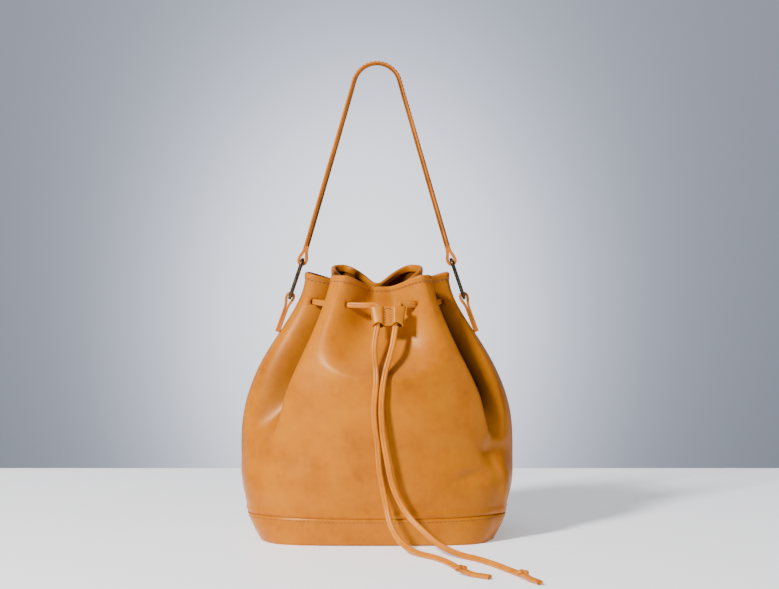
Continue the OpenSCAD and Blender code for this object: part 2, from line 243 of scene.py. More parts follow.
def leatherMaterial(name, light, mid, dark, flesh, roughness, bumpStrength, coat):
    # smooth vegetable-tanned cowhide: pull-up mottling, fine grain under a waxed surface;
    # a piece's "inside" value turns it to the flesh side, and its fold-shade value paints shade into the colour deep
    # in a fold
    material, tree, shader = newMaterial(name, [
        ("Roughness", roughness), ("IOR", 1.42), ("Specular IOR Level", 0.4),
        ("Specular Tint", linear("#ffcf96")), ("Coat Weight", coat),
        ("Coat Roughness", 0.3), ("Coat Tint", linear("#ffe2b8"))])
    place = addNode(tree, "ShaderNodeTexCoord").outputs["Object"]
    big = addNode(tree, "ShaderNodeTexNoise", [("Scale", 1000 / leather["mottleMm"]), ("Detail", 3.0),
                                              ("Roughness", 0.55)], [("Vector", place)])
    fine = addNode(tree, "ShaderNodeTexNoise", [("Scale", 1000 / leather["fineMottleMm"]), ("Detail", 4.0)],
                   [("Vector", place)])
    mixed = addNode(tree, "ShaderNodeMath", [("operation", "MULTIPLY_ADD"), (1, 0.35)],
                    [(0, fine.outputs["Fac"]), (2, big.outputs["Fac"])])
    ramp = addNode(tree, "ShaderNodeValToRGB", [], [("Fac", mixed.outputs[0])])
    stops = ramp.color_ramp.elements
    stops[0].position, stops[0].color = 0.42, linear(dark)
    stops[1].position, stops[1].color = 0.95, linear(light)
    middle = stops.new(0.66)
    middle.color = linear(mid)
    inside = addNode(tree, "ShaderNodeAttribute", [("attribute_name", "inside")])
    both = addNode(tree, "ShaderNodeMix", [("data_type", "RGBA")])
    tree.links.new(inside.outputs["Fac"], both.inputs["Factor"])
    tree.links.new(ramp.outputs["Color"], both.inputs[6])
    both.inputs[7].default_value = linear(flesh)
    paintedFoldShade = addNode(tree, "ShaderNodeAttribute", [("attribute_name", "paintedFoldShade")])
    # painted shade: the colour goes nearly black deep in a fold, where shade falls
    deep = addNode(tree, "ShaderNodeMix", [("data_type", "RGBA"), (7, linear("#1c0c02"))],
                   [("Factor", paintedFoldShade.outputs["Fac"]), (6, both.outputs[2])])
    tree.links.new(deep.outputs[2], shader.inputs["Base Color"])
    grain = addNode(tree, "ShaderNodeTexVoronoi", [("Scale", 1000 / leather["poreMm"])], [("Vector", place)])
    small = addNode(tree, "ShaderNodeTexNoise", [("Scale", 1000 / leather["grainMm"]), ("Detail", 2.0)],
                    [("Vector", place)])
    height = addNode(tree, "ShaderNodeMath", [("operation", "MULTIPLY_ADD"), (1, 0.6)],
                     [(0, small.outputs["Fac"]), (2, grain.outputs["Distance"])])
    relief = addNode(tree, "ShaderNodeBump", [("Strength", bumpStrength), ("Distance", 0.0002)],
                     [("Height", height.outputs[0])])
    tree.links.new(relief.outputs["Normal"], shader.inputs["Normal"])
    return material


bodyLeather = leatherMaterial("vegetable-tanned leather, waxed", leather["light"], leather["grain"],
                              leather["dark"], leather["flesh"], leather["roughness"], 0.10, 0.05)
strapLeather = leatherMaterial("vegetable-tanned strap leather", "#bb6a08", "#ad5c04", "#964c02",
                               leather["flesh"], 0.45, 0.14, 0.15)
laceLeather = leatherMaterial("folded leather lace", "#c47812", "#b86a0a", "#a05804",
                              leather["flesh"], 0.45, 0.14, 0.15)
fleshLeather = leatherMaterial("leather flesh side", "#84480e", "#723c0a", "#5c2e06",
                               leather["flesh"], 0.8, 0.3, 0.0)
# dark brown edge: partly a real burnished edge, partly painted contact shadow under the bag
burnishedEdgeAndPaintedShadow = leatherMaterial("leather edge, burnished dark, with painted contact shadow", "#4a2a0e", "#3a200a", "#2a1606",
                                leather["flesh"], 0.5, 0.1, 0.0)


def fleckedMaterial(name, settings, scale, detail, low, high):
    # two tones that change with a fine noise; low and high are (place on the noise, colour)
    material, tree, shader = newMaterial(name, settings)
    place = addNode(tree, "ShaderNodeTexCoord").outputs["Object"]
    noise = addNode(tree, "ShaderNodeTexNoise", [("Scale", scale), ("Detail", detail)], [("Vector", place)])
    ramp = addNode(tree, "ShaderNodeValToRGB", [], [("Fac", noise.outputs["Fac"])])
    for stop, (at, colour) in zip(ramp.color_ramp.elements, (low, high)):
        stop.position, stop.color = at, linear(colour)
    tree.links.new(ramp.outputs["Color"], shader.inputs["Base Color"])
    return material


# waxed polyester thread, darker than the leather
thread = newMaterial("waxed polyester thread", [
    ("Base Color", linear("#45200a")), ("Roughness", 0.6), ("Sheen Weight", 0.2)])[0]
# antique brass: blackened in the hollows, warm where it is rubbed
brass = fleckedMaterial("antique brass, blackened", [("Metallic", 1.0), ("Roughness", 0.34)], 400.0, 4.0,
                        (0.35, "#3a342b"), (0.75, "#6d604a"))
# grey fibre board: matt and flecked
board = fleckedMaterial("grey fibre board", [("Roughness", 0.9)], 900.0, 3.0,
                        (0.35, "#5b5348"), (0.7, "#7b7367"))


# lace: a folded strip, nearly square, with a groove down the middle of its face

lace = {
    "size": 5.0,  # the round cord it stands for
    "wide": 6.0, "flat": 4.1, "square": 3.2, "groove": 0.5, "grooveWidth": 0.4,
    "around": 28, "stepMm": 2.0, "clear": 0.05,  # clear is the air left above the table
    "round": 67, "height": 243,  # radius and height of its round in the mouth
}


def laceProfile():
    # superellipse, wider than thick, pressed in where the two folded edges meet
    a = np.linspace(0, 2 * math.pi, lace["around"], endpoint=False)
    n = lace["square"]
    q = 1 / (np.abs(np.cos(a)) ** n + np.abs(np.sin(a)) ** n) ** (1 / n)
    x, y = q * np.cos(a) * lace["wide"] / 2, q * np.sin(a) * lace["flat"] / 2
    return np.stack([x, y - np.sign(y) * lace["groove"] * bump(x, 0, lace["grooveWidth"])], -1)


runDown = np.array([-0.15, -0.36, -0.92])  # the way both laces leave the mouth
laceTop = np.array([13.2, -67.3, 243])
keeperHalf = 9.3  # from the keeper's middle to each lace


def runPoint(x, s):
    # s mm down the run from its top, x mm to the side
    return (laceTop + [x, 0, 0] + s * runDown).tolist()


leftRoute = [runPoint(-keeperHalf, 22), runPoint(-keeperHalf, 32), runPoint(-keeperHalf, 42),
             [-1, -88, 182], [-0.5, -94, 168], [-2, -96, 150], [-2.5, -97, 134], [-1, -98, 119],
             [1, -98.5, 104], [2, -99, 88], [4, -100, 72], [7, -102, 57], [10, -106, 42], [13, -113, 29],
             [19, -123, 17], [29, -137, 8], [42, -152, 3.5], [56, -171, 2.5], [66, -192, 2.5],
             [74, -216, 2.5], [79, -238, 3.5], [81, -252, 5.5]]
rightRoute = [runPoint(keeperHalf, 22), runPoint(keeperHalf, 32), runPoint(keeperHalf, 42),
              [10, -88, 182], [7, -94, 168], [5, -97, 150], [5, -99.5, 134], [6, -101.5, 119],
              [8, -102.5, 104], [11, -103.5, 88], [14, -104.5, 72], [19, -107, 57], [27, -112, 42],
              [37, -120, 30], [49, -131, 20], [62, -144, 11], [78, -158, 5], [94, -175, 2.5],
              [106, -196, 2.5], [118, -222, 2.5], [129, -250, 2.5], [135, -266, 3.5], [138, -278, 5.5]]
tailRoutes = {"left": [[84, -261, 5], [91, -268, 3], [100, -276, 2.6], [108, -283, 2.6]],
              "right": [[141, -288, 5], [146, -297, 3], [151, -306, 2.6], [154, -314, 2.6]]}


def laceAlong(name, route, first, body, stands):
    count = int(pathLength(np.asarray(route, float)) / lace["stepMm"])
    path = smoothPath(route, count)
    rings = sweep(path, carriedSides(path, first), laceProfile())
    rings[..., 2] += np.maximum(lace["clear"] - rings[..., 2].min(axis=1, keepdims=True), 0)
    return sweptPiece(name, rings, laceLeather, body, stands), path


knotShape = {"steps": 120, "lobe": 1.7, "height": 1.1, "scale": 1.45, "strip": 0.86}


def knotPiece(side, route):
    # an overhand knot pulled tight: a three-lobed closed curve carried round by the lace
    lo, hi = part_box("knot_" + side)
    mid = (np.array(lo) + np.array(hi)) / 2 / mm
    t = np.linspace(0, 2 * math.pi, knotShape["steps"], endpoint=False)
    lobe = knotShape["lobe"]
    curl = np.stack([np.sin(t) + lobe * np.sin(2 * t), np.cos(t) - lobe * np.cos(2 * t),
                     -knotShape["height"] * np.sin(3 * t)], -1)
    turn = math.atan2(route[-1][1] - route[-2][1], route[-1][0] - route[-2][0])
    c, s = math.cos(turn), math.sin(turn)
    curl = curl @ np.array([[c, s, 0], [-s, c, 0], [0, 0, 1]]) * knotShape["scale"]
    path = mid + curl
    way = unitRows(np.roll(path, -1, 0) - np.roll(path, 1, 0))
    hint = np.array([0.2, 0.1, 1.0])
    sideways = unitRows(np.cross(way, hint))
    up = np.cross(sideways, way)
    prof = laceProfile() * knotShape["strip"]
    rings = path[:, None] + prof[:, 0:1] * sideways[:, None] + prof[:, 1:2] * up[:, None]
    return makePiece("knot" + side.title(), rings, gridFaces(len(t), lace["around"], True, True)[:, ::-1],
                     laceLeather, "bag", ["knot_" + side])


for side, route in (("left", leftRoute), ("right", rightRoute)):
    piece, path = laceAlong("lace" + side.title(), route, [1, 0, 0], "bag", ["cord_" + side])
    knot = knotPiece(side, route)
    tail = laceAlong("laceTail" + side.title(), tailRoutes[side], [1, 0, 0], "bag", ["tail_" + side])[0]
    print("lace", side, round(pathLength(path)), "mm")


# body skin: a polar form with pleats that deepen towards the mouth

bodyLow, bodyHigh = (np.array(c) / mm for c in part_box("front_panel"))
rearHigh = np.array(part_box("back_panel")[1]) / mm
body = {
    "baseWidth": 230, "baseDepth": 166, "mouthWidth": 148, "mouthDepth": 154,
    "width": bodyHigh[0] - bodyLow[0] + 1.5, "depth": rearHigh[1] - bodyLow[1],
    "rim": bodyHigh[2], "belly": 72, "seam": 28, "seamShare": 0.66, "thick": 2.0, "hem": 7.0,
    "neckRound": 1.55, "squareBase": 5, "squareSeam": 3, "squareTop": 2.05,  # 2 is an ellipse
    "frontTurn": 3, "neckShift": 2.5,  # the front pleat and the front of the neck sit off the middle
    "gatherFrom": 120, "gatherOver": 110, "rearLift": 2.5, "sideDrop": 1.2,
    "rimReach": 0.004,  # how much further a pleat opens for each mm above the rim
}
# pleats by their place round the body: 0 in front, 1 to 3 round the right side to the rear, -1 and -2 on the left.
# start is the height where one begins, power its sharpness, flat its roundness across, radius the distance from
# the axis it reaches at the rim, dip how far its rim sinks, bite and soft how it opens, shade how much painted shade
# darkens it deep in the fold
pleats = {
    0: {"start": 170, "power": 1.0, "flat": 3.0, "radius": 43, "dip": 13, "bite": 2.1, "soft": 0.03, "shade": 0.0},
    1: {"start": 104, "power": 5.0, "flat": 1.6, "radius": 20, "dip": 14, "bite": 1.6, "soft": 0.04, "shade": 1.0},
    2: {"start": 118, "power": 2.0, "flat": 1.0, "radius": 36, "dip": 14, "bite": 1.6, "soft": 0.09, "shade": 0.2},
    3: {"start": 150, "power": 1.2, "flat": 1.2, "radius": 38, "dip": 17, "bite": 1.6, "soft": 0.06, "shade": 0.2},
    -2: {"start": 118, "power": 2.0, "flat": 1.0, "radius": 36, "dip": 14, "bite": 1.6, "soft": 0.09, "shade": 0.2},
    -1: {"start": 102, "power": 3.0, "flat": 1.2, "radius": 25, "dip": 14, "bite": 1.6, "soft": 0.06, "shade": 0.45},
}
# slack in the leather: two dents low on the right, the second slanting up, and two faint ones on the left
dents = [
    {"deep": 5.5, "turn": 68, "wide": 7, "height": 91, "tall": 12, "slant": 0},
    {"deep": 4.2, "turn": 52, "wide": 8, "height": 69, "tall": 7, "slant": 0.55},
    {"deep": 1.6, "turn": -72, "wide": 9, "height": 118, "tall": 26, "slant": 0},
    {"deep": 1.2, "turn": -40, "wide": 12, "height": 120, "tall": 20, "slant": 0},
]
slantFrom = 68  # the height where a slanting dent has its own turn


def halfAt(h, low, mid, top):
    # half the width or depth: a slanted foot, a round belly, then a soft S to the mouth
    seam, belly = body["seam"], body["belly"]
    share = np.where(h < seam, body["seamShare"] * h / seam, body["seamShare"] + (1 - body["seamShare"])
                     * np.sin(np.pi / 2 * np.clip((h - seam) / (belly - seam), 0, 1)))
    foot = low + (mid - low) * share
    t = np.clip((h - belly) / (body["rim"] - belly), 0, 1.05)
    neck = mid + (top - mid) * (1 - np.cos(np.pi * t ** body["neckRound"])) / 2
    return np.where(h < belly, foot, neck) / 2


def foldPhase(side, h):
    # pi for each step from pleat to fold round half of the body; the front ones fan out lower down
    p = np.abs(side)
    down = np.clip((body["rim"] - h) / 98, 0, 1.25)
    far = np.clip((body["rim"] - h) / 153, 0, 1.1)
    crown = np.where(side < 0, 30, 34)
    knots = [0 * h, crown + 18 * down ** 0.7, 60 + 9 * far, 90 + 0 * h, 121 - 7 * far, 150 - 8 * down, 180 + 0 * h]
    return sum(np.clip((p - a) / (b - a), 0, 1) for a, b in zip(knots[:-1], knots[1:])) * np.pi


def pleatAt(turn, h):
    # a place's turn from the front pleat, how deep across its pleat it lies, how far up and how far open the
    # pleat is there, the pleat's radius and dip, and how much painted shade darkens the leather there
    shift = body["frontTurn"] * ((1 + np.cos(np.radians(turn))) / 2) ** 4
    p = (turn - shift + 180) % 360 - 180
    phase = foldPhase(p, h)
    which = np.round(phase / (2 * np.pi)).astype(int)
    which = np.where(p < 0, -which, which)
    start, power, flat, radius, dip, bite, soft, shade = (
        sum(np.where((which == k) | ((k == 3) & (which == -3)), pleat[key], 0.0) for k, pleat in pleats.items())
        for key in ("start", "power", "flat", "radius", "dip", "bite", "soft", "shade"))
    # the sharp right pleat starts as a crease and widens upwards
    power = np.where(power > 4, power * (1.8 - 1.1 * ease((h - 105) / 100)), power)
    fold = 1 - (1 - np.clip((1 + np.cos(phase)) / 2, 0, 1) ** power) ** flat
    lift = np.where(which == 0, 22 * (phase / np.pi) ** 2, 0)  # the front one starts higher at its sides
    t = softStart((h - start - lift) / (body["rim"] - start - lift), soft)
    rise = np.clip(1 - (1 - np.clip(t, 0, 1)) ** bite, 0, 1.05)
    rise = rise - np.where(which == 0, 0.05, 0.03) * bump(t, 0, 0.07)  # a slight swelling below the start
    rise = np.where(h > body["rim"], rise + (h - body["rim"]) * body["rimReach"], rise)
    # painted shade: darkest where a pleat is deep and open
    dark = shade * np.clip(2.2 * fold, 0, 1) * ease(rise / 0.5)
    return p, fold, t, rise, radius, dip, dark


def bodySkin(turn, h):
    # turn in degrees from the front, right side positive; h is the height on a fold. A superellipse of the
    # width and depth at h, drawn in by each pleat, with its rim sunk in the pleats and dented below
    p, fold, t, rise, radius, dip, _ = pleatAt(turn, h)
    a = np.radians(turn)
    w = halfAt(h, body["baseWidth"], body["width"], body["mouthWidth"])
    d = halfAt(h, body["baseDepth"], body["depth"], body["mouthDepth"])
    base, seam, top = body["squareBase"], body["squareSeam"], body["squareTop"]
    n = np.where(h < body["seam"], base + (seam - base) * h / body["seam"],
                 seam + (top - seam) * ease((h - body["seam"]) / body["belly"]))
    r = ((np.abs(np.sin(a)) / w) ** n + (np.abs(np.cos(a)) / d) ** n) ** (-1 / n)
    deep = (1 - 2 * radius / body["mouthDepth"]) * fold * rise
    r = r * (1 - deep)
    gather = ease((h - body["gatherFrom"]) / body["gatherOver"])
    x, y = r * np.sin(a) + body["neckShift"] * gather * np.clip(np.cos(a), 0, 1), -r * np.cos(a)
    rear = body["rearLift"] * ease((np.abs(p) - 110) / 30) - body["sideDrop"] * bump(np.abs(p), 90, 20)
    z = h - dip * fold * np.clip(t, 0, 1) ** 2 + rear * gather
    dent = sum(d["deep"] * bump(turn - d["slant"] * (h - slantFrom), d["turn"], d["wide"])
               * bump(h, d["height"], d["tall"]) for d in dents)
    # a faint roll all over
    roll = 0.5 * np.sin(a * 5 + h * 0.031) * np.sin(h * 0.043 + 1.3 * a) * ease((h - 26) / 20)
    s = 1 - (dent + roll) / np.maximum(r, 1)
    return np.stack([x * s, y * s, z], -1)


def skinNormal(turn, h):
    # outward, from the differences between close neighbours
    e = 0.4
    around = bodySkin(turn + e, h) - bodySkin(turn - e, h)
    along = bodySkin(turn, h + e) - bodySkin(turn, np.maximum(h - e, 0))
    return unitRows(np.cross(around, along))


def skinAt(turn, h, out=0.0):
    # a point off the skin by out along its normal
    return bodySkin(turn, h) + np.asarray(out)[..., None] * skinNormal(turn, h)


band = {"top": 28.0, "thick": 1.8, "gap": 0.3, "stitchDown": 3.2, "rows": 14}
stitchUp = 1.2  # the hem's stitches lie that far above its lower edge
edge = {"round": 1.4, "over": 1.9, "out": 0.8}  # the turned rim: where it starts below the rim, its height, its lip


def panelSection():
    # one panel's section: up the grain side, over the rim, down the turned hem and the flesh side;
    # the hem stands out, its stitches sink in, and the leather swells above the foot seam
    t, rim, hem = body["thick"], body["rim"], body["hem"]
    up = np.concatenate([np.linspace(4, 27.5, 13), np.linspace(30, 228, 78), np.linspace(229.2, 262, 30),
                         np.linspace(263, rim - edge["round"], 11)])
    stitchAt = rim - hem + stitchUp
    relief = edge["out"] * ease((up - rim + hem) / 0.8) - 0.7 * bump(up, stitchAt, 0.8) \
        + 1.9 * bump(up, band["top"] + 3.4, 2.6)
    arc = np.linspace(0, math.pi, 9)[1:-1]
    over = rim - edge["round"] + edge["over"] * np.sin(arc)
    overOut = edge["out"] - t - 0.4 + (t + 0.4) * np.cos(arc)
    downHem = np.array([rim - edge["round"], rim - 4, rim - hem + 1, rim - hem + 0.2])
    downOut = np.array([-2 * t, -2 * t, -2 * t, -2 * t + 0.4])
    inner = up[up < rim - hem][::-1]
    innerOut = np.full(len(inner), -t)
    inside = np.concatenate([np.zeros(len(up) + len(over) + len(downHem)), np.ones(len(inner))])
    return (np.concatenate([up, over, downHem, inner]),
            np.concatenate([relief, overOut, downOut, innerOut]), inside)


hole = {"radius": 3.1, "margin": 0.4, "leastShare": 0.35}


def laceHoles():
    # where the drawstring's round meets the skin: turn, fold height and half length of each punched slot
    turn = np.linspace(-90, 270, 3601)
    h = np.full_like(turn, lace["height"])
    for _ in range(12):
        h = h + lace["height"] - bodySkin(turn, h)[:, 2]
    p = bodySkin(turn, h)
    away = np.hypot(p[:, 0], p[:, 1]) - lace["round"] - body["thick"] / 2
    at = np.where(np.sign(away[1:]) != np.sign(away[:-1]))[0]
    n = skinNormal(turn[at], h[at])
    a = np.radians(turn[at])
    along = np.abs(n[:, 0] * np.cos(a) + n[:, 1] * np.sin(a))
    return [(turn[i], h[i], hole["radius"] / max(share, hole["leastShare"])) for i, share in zip(at, along)]


holesAt = laceHoles()


def bodyPanel(name, first, last, columns, stands):
    # a grid of turns by section points, with a real hole through both sides wherever the drawstring passes
    turn = np.linspace(first, last, columns)[:, None]
    heights, outs, inside = panelSection()
    n = len(heights)
    turns, levels = turn + 0 * heights, heights + 0 * turn
    faces = gridFaces(columns, n, wrapCols=True)
    keep = np.ones((columns - 1, n), bool)
    rims = []
    for holeTurn, holeHeight, halfLength in holesAt:
        if not first < holeTurn < last:
            continue
        c = int(np.argmin(np.abs(turn[:, 0] - holeTurn)))
        r = int(np.argmin(np.abs(heights[:n // 2] - holeHeight)))
        step = np.linalg.norm(bodySkin(turn[c + 1], heights[r:r + 1]) - bodySkin(turn[c], heights[r:r + 1]))
        w = max(2, math.ceil((halfLength + hole["margin"]) / step))
        v = max(2, math.ceil((hole["radius"] + hole["margin"]) / (heights[r + 1] - heights[r])))
        square = [(c - w + i, r - v) for i in range(2 * w)] + [(c + w, r - v + i) for i in range(2 * v)] \
            + [(c + w - i, r + v) for i in range(2 * w)] + [(c - w, r + v - i) for i in range(2 * v)]
        # the square of grid points round the hole is drawn out to the hole's oval
        for i, k in square:
            u = np.array([(i - c) / w, (k - r) / v])
            u = u / np.linalg.norm(u)
            for row in (k, n - 1 - k):
                turns[i, row] = holeTurn + u[0] * halfLength / step * (turn[1, 0] - turn[0, 0])
                levels[i, row] = holeHeight + u[1] * hole["radius"]
        keep[c - w:c + w, r - v:r + v] = False
        keep[c - w:c + w, n - 1 - r - v:n - 1 - r + v] = False
        a = np.array([i * n + k for i, k in square])
        b = np.array([i * n + n - 1 - k for i, k in square])
        rims.append(np.stack([a, np.roll(a, -1), np.roll(b, -1), b], -1))
    faces = np.concatenate([faces[keep.ravel()]] + rims)
    seam = 0.9 * (bump(turn, first, 0.8) + bump(turn, last, 0.8))  # the side seams pull in
    points = skinAt(turns, levels, outs + 0 * turn - seam * (1 - inside))
    caps = [range(n), range(columns * n - 1, (columns - 1) * n - 1, -1)]
    piece = makePiece(name, points, faces, bodyLeather, "bag", stands,
                      [list(c)[::-1] for c in caps])
    addValues(piece, "inside", np.broadcast_to(inside, (columns, n)))
    # painted shade deep in the pleats, on the grain side only
    addValues(piece, "paintedFoldShade", pleatAt(turns, levels)[-1] * (1 - inside))
    return piece


bodyPanel("frontPanel", -90, 90, 361, ["front_panel"])
bodyPanel("backPanel", 90, 270, 301, ["back_panel"])
print("body panels")


def footBand():
    # one strip round the foot, its edges rounded, its upper edge standing a little proud of the panels
    turn = np.linspace(-180, 180, 360, endpoint=False)[:, None]
    t, top, rows = band["thick"], band["top"], band["rows"]
    up = np.concatenate([[0.8], np.linspace(2, top - 0.6, rows)])
    heights = np.concatenate([up, [top - 0.1, top, top - 0.1], up[::-1]])
    outs = np.concatenate([[t * 0.6], np.full(rows, t), [t * 0.75, t * 0.45], np.zeros(rows + 2)]) + band["gap"]
    sunk = 0.35 * bump(up, top - band["stitchDown"], 0.8)
    outs = outs - np.concatenate([sunk, np.zeros(len(heights) - len(up))])
    points = skinAt(turn + 0 * heights, heights + 0 * turn, outs + 0 * turn)
    return makePiece("footBand", points, gridFaces(360, len(heights), True, True), bodyLeather, "bag",
                     ["base_band"])


piping = {"radius": 1.35, "height": 1.5, "around": 14}


def basePiping():
    # a thin folded edge sewn in between the band and the sole; its dark colour is partly a burnished edge, partly
    # painted contact shadow
    turn = np.linspace(-180, 180, 360, endpoint=False)
    line = skinAt(turn, 0 * turn + 0.5, 0 * turn + 0.2)
    line[:, 2] = piping["height"]
    a = np.linspace(0, 2 * math.pi, piping["around"], endpoint=False)
    way = unitRows(np.roll(line, -1, 0) - np.roll(line, 1, 0))
    side = unitRows(np.cross(way, [0, 0, 1]))
    across, up = np.cos(a)[None, :, None], np.sin(a)[None, :, None]
    rings = line[:, None] + piping["radius"] * (across * side[:, None] + up * np.array([0, 0, 1]))
    return makePiece("basePiping", rings, gridFaces(360, len(a), True, True)[:, ::-1], burnishedEdgeAndPaintedShadow, "bag",
                     ["base_welt"])


footBand()
basePiping()


# stitches: short rounded threads laid along a line on a surface

def stitchRow(name, line, normal, body, length=3.0, gapMm=1.2, thick=0.75, sink=0.1):
    # one small spindle per stitch: thick in the middle, dipping into the leather at both ends
    run = np.concatenate([[0], np.cumsum(np.linalg.norm(np.diff(line, axis=0), axis=1))])
    count = max(int(run[-1] // (length + gapMm)), 1)
    starts = (np.arange(count) + 0.5) * run[-1] / count - length / 2
    steps, around = 7, 6
    size = steps * around
    u = np.linspace(0, 1, steps)
    a = np.linspace(0, 2 * math.pi, around, endpoint=False)
    where = starts[:, None] + u * length
    mid = np.stack([np.interp(where, run, line[:, k]) for k in range(3)], -1)
    up = unitRows(np.stack([np.interp(where, run, normal[:, k]) for k in range(3)], -1))
    way = unitRows(np.gradient(mid, axis=1))
    side = np.cross(way, up)
    r = thick / 2 * np.sqrt(np.clip(1 - (2 * u - 1) ** 4, 0.02, 1))
    lift = (thick * 0.35 * np.sin(math.pi * u) - sink)[None, :, None]
    rings = mid[:, :, None] + (lift * up)[:, :, None] + r[None, :, None, None] * (
        np.cos(a)[None, None, :, None] * side[:, :, None] + np.sin(a)[None, None, :, None] * up[:, :, None])
    one = gridFaces(steps, around, wrapCols=True)
    firsts = (np.arange(count) * size)[:, None]
    faces = (one[None] + firsts[:, :, None]).reshape(-1, 4)
    ends = np.concatenate([np.arange(around)[None] + firsts, (size - 1 - np.arange(around))[None] + firsts])
    return makePiece(name, rings, faces[:, ::-1], thread, body, (), ends.tolist())


def skinStitches(name, first, last, height, out):
    # a row at one height, out mm off the skin
    turn = np.linspace(first, last, 1400)
    h = np.full_like(turn, height)
    return stitchRow(name, skinAt(turn, h, out + 0 * turn), skinNormal(turn, h), "bag")


skinStitches("hemStitchFront", -89, 89, body["rim"] - body["hem"] + stitchUp, 0.15)
skinStitches("hemStitchBack", 91, 269, body["rim"] - body["hem"] + stitchUp, 0.15)
skinStitches("footStitch", -180, 179.8, band["top"] - band["stitchDown"], band["gap"] + band["thick"] - 0.3)
print("foot and stitches")


# drawstring round the mouth, its two ends bending down into the keeper

leftBend = [runPoint(-keeperHalf, 22), runPoint(-keeperHalf, 14), runPoint(-keeperHalf, 6),
            (laceTop + [-11.6, -0.6, -2.2]).tolist(), (laceTop + [-15.3, 0.6, -0.1]).tolist()]
rightBend = [(laceTop + [10.6, 2.1, -0.8]).tolist(), (laceTop + [9.1, -0.5, -2.8]).tolist(),
             runPoint(keeperHalf, 6), runPoint(keeperHalf, 14), runPoint(keeperHalf, 22)]
roundTurns = np.radians(np.arange(262, -71, -8.3))
mouthRound = np.stack([lace["round"] * np.cos(roundTurns), lace["round"] * np.sin(roundTurns),
                       lace["height"] + 0 * roundTurns], -1)
loopRoute = leftBend + mouthRound.tolist() + rightBend
laceAlong("drawstring", loopRoute, [0.92, -0.38, 0], "bag", ["drawstring_loop"])


# cord keeper

keeper = {
    "length": 20, "topHalf": 17.6, "footHalf": 15.0, "thick": 1.7, "around": 96, "rows": 14,
    "bulge": 4.4, "waist": 1.3, "web": 3.8,  # half the depth of a tube and of the sewn middle, half its width
    "arch": 3.2, "archWidth": 4.6, "lip": 0.5,  # how far the front is cut up under each tube
    "middle": runPoint(0, 12), "tiltDeg": -21,
}
tilt = math.radians(keeper["tiltDeg"])


def keeperPlace(local):
    # from the keeper's own frame, upright, to its place on the laces
    c, sn = math.cos(tilt), math.sin(tilt)
    return local @ np.array([[1, 0, 0], [0, c, sn], [0, -sn, c]]) + keeper["middle"]


def keeperPiece():
    # a strip wrapped into two tubes and sewn between them: a closed ribbon with a waist, wider at its top
    s = np.linspace(0, 2 * math.pi, keeper["around"], endpoint=False)
    v = np.linspace(0, 1, keeper["rows"])[:, None]
    half = keeper["footHalf"] + (keeper["topHalf"] - keeper["footHalf"]) * v ** 1.5
    x = half * np.sign(np.cos(s)) * np.abs(np.cos(s)) ** 0.9
    bulge = keeper["bulge"] + 0.7 * (1 - v) ** 2 - 0.6 * v ** 3  # fuller at the foot than at the top
    swell = keeper["waist"] + (bulge - keeper["waist"]) * ease((abs(x) - keeper["web"]) / 3)
    y = swell * np.sign(np.sin(s)) * np.abs(np.sin(s)) ** 0.6
    tubes = bump(x, keeperHalf, keeper["archWidth"]) + bump(x, -keeperHalf, keeper["archWidth"])
    arch = keeper["arch"] * (1 - v) ** 3 * tubes * ease(-np.sin(s) * 2)
    z = keeper["length"] * (v - 0.5) + arch
    middle = np.stack([x, y, z], -1)
    around = np.roll(middle, -1, 1) - np.roll(middle, 1, 1)
    out = unitRows(np.cross(around, [0, 0, 1]))
    t = keeper["thick"] / 2
    outer, inner = middle + t * out, middle - t * out
    lipTop = middle[-1:] + [0, 0, keeper["lip"]]
    lipFoot = middle[:1] - [0, 0, keeper["lip"]]
    rows = keeperPlace(np.concatenate([lipFoot, outer, lipTop, inner[::-1]]))
    faces = gridFaces(len(rows), keeper["around"], True, True)[:, ::-1]
    piece = makePiece("cordKeeper", rows, faces, bodyLeather, "keeper", ["cord_keeper"])
    addValues(piece, "inside", np.repeat(np.arange(len(rows)) > keeper["rows"] + 1, keeper["around"]))
    return piece


keeperPiece()


def keeperStitches():
    # an arch of stitches: up one side of the middle, across the top and down the other
    w, h = 3.2, 8
    line = np.array([[-w, -h], [-w, h], [w, h], [w, -h]])
    run = np.concatenate([[0], np.cumsum(np.linalg.norm(np.diff(line, axis=0), axis=1))])
    u = np.linspace(0, run[-1], 200)
    x, z = np.interp(u, run, line[:, 0]), np.interp(u, run, line[:, 1])
    face = keeperPlace(np.stack([x, 0 * x - (keeper["waist"] + keeper["thick"] / 2), z], -1))
    normal = np.broadcast_to([0, -math.cos(tilt), -math.sin(tilt)], face.shape)
    return stitchRow("keeperStitch", face, normal, "keeper", 1.8, 0.8, 1.0, -0.1)


keeperStitches()
print("drawstring and keeper")


# rings, side tabs and handle

ring = {"wire": 1.9}  # half the wire's thickness
ringBars = {}  # the middles of each ring's lower and upper bar
for side, sign in (("left", -1), ("right", 1)):
    lo, hi = (np.array(c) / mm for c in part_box("ring_" + side))
    wire = ring["wire"]
    outer, inner = (lo[0], hi[0]) if sign < 0 else (hi[0], lo[0])
    low = np.array([outer - sign * wire, 0, lo[2] + wire])
    high = np.array([inner + sign * wire, 0, hi[2] - wire])
    ringBars[side] = (low, high)
    paint("ring_" + side, brass)


def ribbonBand(name, path, width, thick, material, body, stands=(), corner=0.5, roll=None):
    # a strap of rounded rectangular section whose width lies from front to back
    rings = sweep(path, (0, 1, 0), roundedBar(width, thick, corner), roll)
    return sweptPiece(name, rings, material, body, stands)


tab = {"width": 16, "thick": 2.6, "footX": 103, "footZ": 211, "loop": 3.8,
       "leg": 1.25, "neck": 2.0, "bendFrom": 20, "bendTo": 27, "seamHigh": 17, "seamLow": 2.2}


